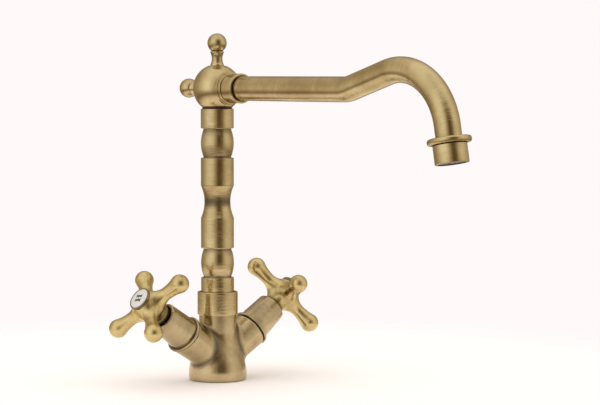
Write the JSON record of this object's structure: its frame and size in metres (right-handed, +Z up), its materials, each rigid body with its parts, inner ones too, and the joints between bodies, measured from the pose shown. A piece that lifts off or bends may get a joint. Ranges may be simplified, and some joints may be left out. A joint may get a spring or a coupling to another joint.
{
  "type": "mixer faucet",
  "caption": "Deck-mounted mixer faucet: turned column with a swivelling swan-neck spout, cross handles on angled valves, ball finials, aged brass finish.",
  "frame": {"origin": "centre of the foot's underside, on the deck, on the column's axis", "axes": "+Z up the column, -Y along the spout at rest, -X towards the hot valve and +X towards the cold valve"},
  "size_m": [0.1942, 0.3406, 0.2942],
  "materials": {
    "body_brass": "aged satin brass, cast and linished",
    "turned_brass": "aged brass with fine turning marks",
    "handle_brass": "aged satin brass, cast and polished",
    "raw_brass": "plain machined brass",
    "bronze": "dark bronzed brass",
    "porcelain": "glossy white, porcelain look",
    "ceramic": "lapped ceramic",
    "rubber": "matt black",
    "washer_plastic": "matt black",
    "insert_plastic": "matt grey",
    "steel": "plain stainless"
  },
  "bodies": {
    "fixed_body": {"mixer_body": "body_brass", "base_seal": "rubber", "neck_collar": "turned_brass", "column": "turned_brass", "column_seal": "rubber", "swivel_washer": "washer_plastic", "spout_grub_screw": "steel", "hot_bonnet": "turned_brass", "hot_bonnet_seal": "rubber", "hot_cartridge": "raw_brass", "hot_cartridge_seal": "rubber", "hot_seat_seal": "rubber", "hot_fixed_disc": "ceramic", "cold_bonnet": "turned_brass", "cold_bonnet_seal": "rubber", "cold_cartridge": "raw_brass", "cold_cartridge_seal": "rubber", "cold_seat_seal": "rubber", "cold_fixed_disc": "ceramic"},
    "swivel_spout": {"head_ball": "turned_brass", "swivel_stem": "turned_brass", "swivel_seals": "rubber", "top_finial": "turned_brass", "back_finial": "turned_brass", "spout_nut": "turned_brass", "spout_olive": "raw_brass", "spout_tube": "turned_brass", "outlet_flange": "turned_brass", "aerator_shell": "turned_brass", "aerator_insert": "insert_plastic", "aerator_washer": "rubber"},
    "hot_turning": {"hot_handle": "handle_brass", "hot_index_ring": "bronze", "hot_index_disc": "porcelain", "hot_handle_screw": "steel", "hot_spindle": "raw_brass", "hot_moving_disc": "ceramic", "hot_spindle_seals": "rubber", "hot_spindle_clip": "steel"},
    "cold_turning": {"cold_handle": "handle_brass", "cold_index_ring": "bronze", "cold_index_disc": "porcelain", "cold_handle_screw": "steel", "cold_spindle": "raw_brass", "cold_moving_disc": "ceramic", "cold_spindle_seals": "rubber", "cold_spindle_clip": "steel"}
  },
  "joints": [
    {"name": "spout_swivel", "type": "hinge", "parent": "fixed_body", "child": "swivel_spout", "pos_m": [0, 0, 0.2167], "axis": [0, 0, 1], "continuous": true},
    {"name": "hot_turn", "type": "hinge", "parent": "fixed_body", "child": "hot_turning", "pos_m": [0, 0, 0.0151], "axis": [-0.8141, 0, 0.5807], "range_deg": [0, 90]},
    {"name": "cold_turn", "type": "hinge", "parent": "fixed_body", "child": "cold_turning", "pos_m": [0, 0, 0.0151], "axis": [0.8141, 0, 0.5807], "range_deg": [0, 90]}
  ]
}
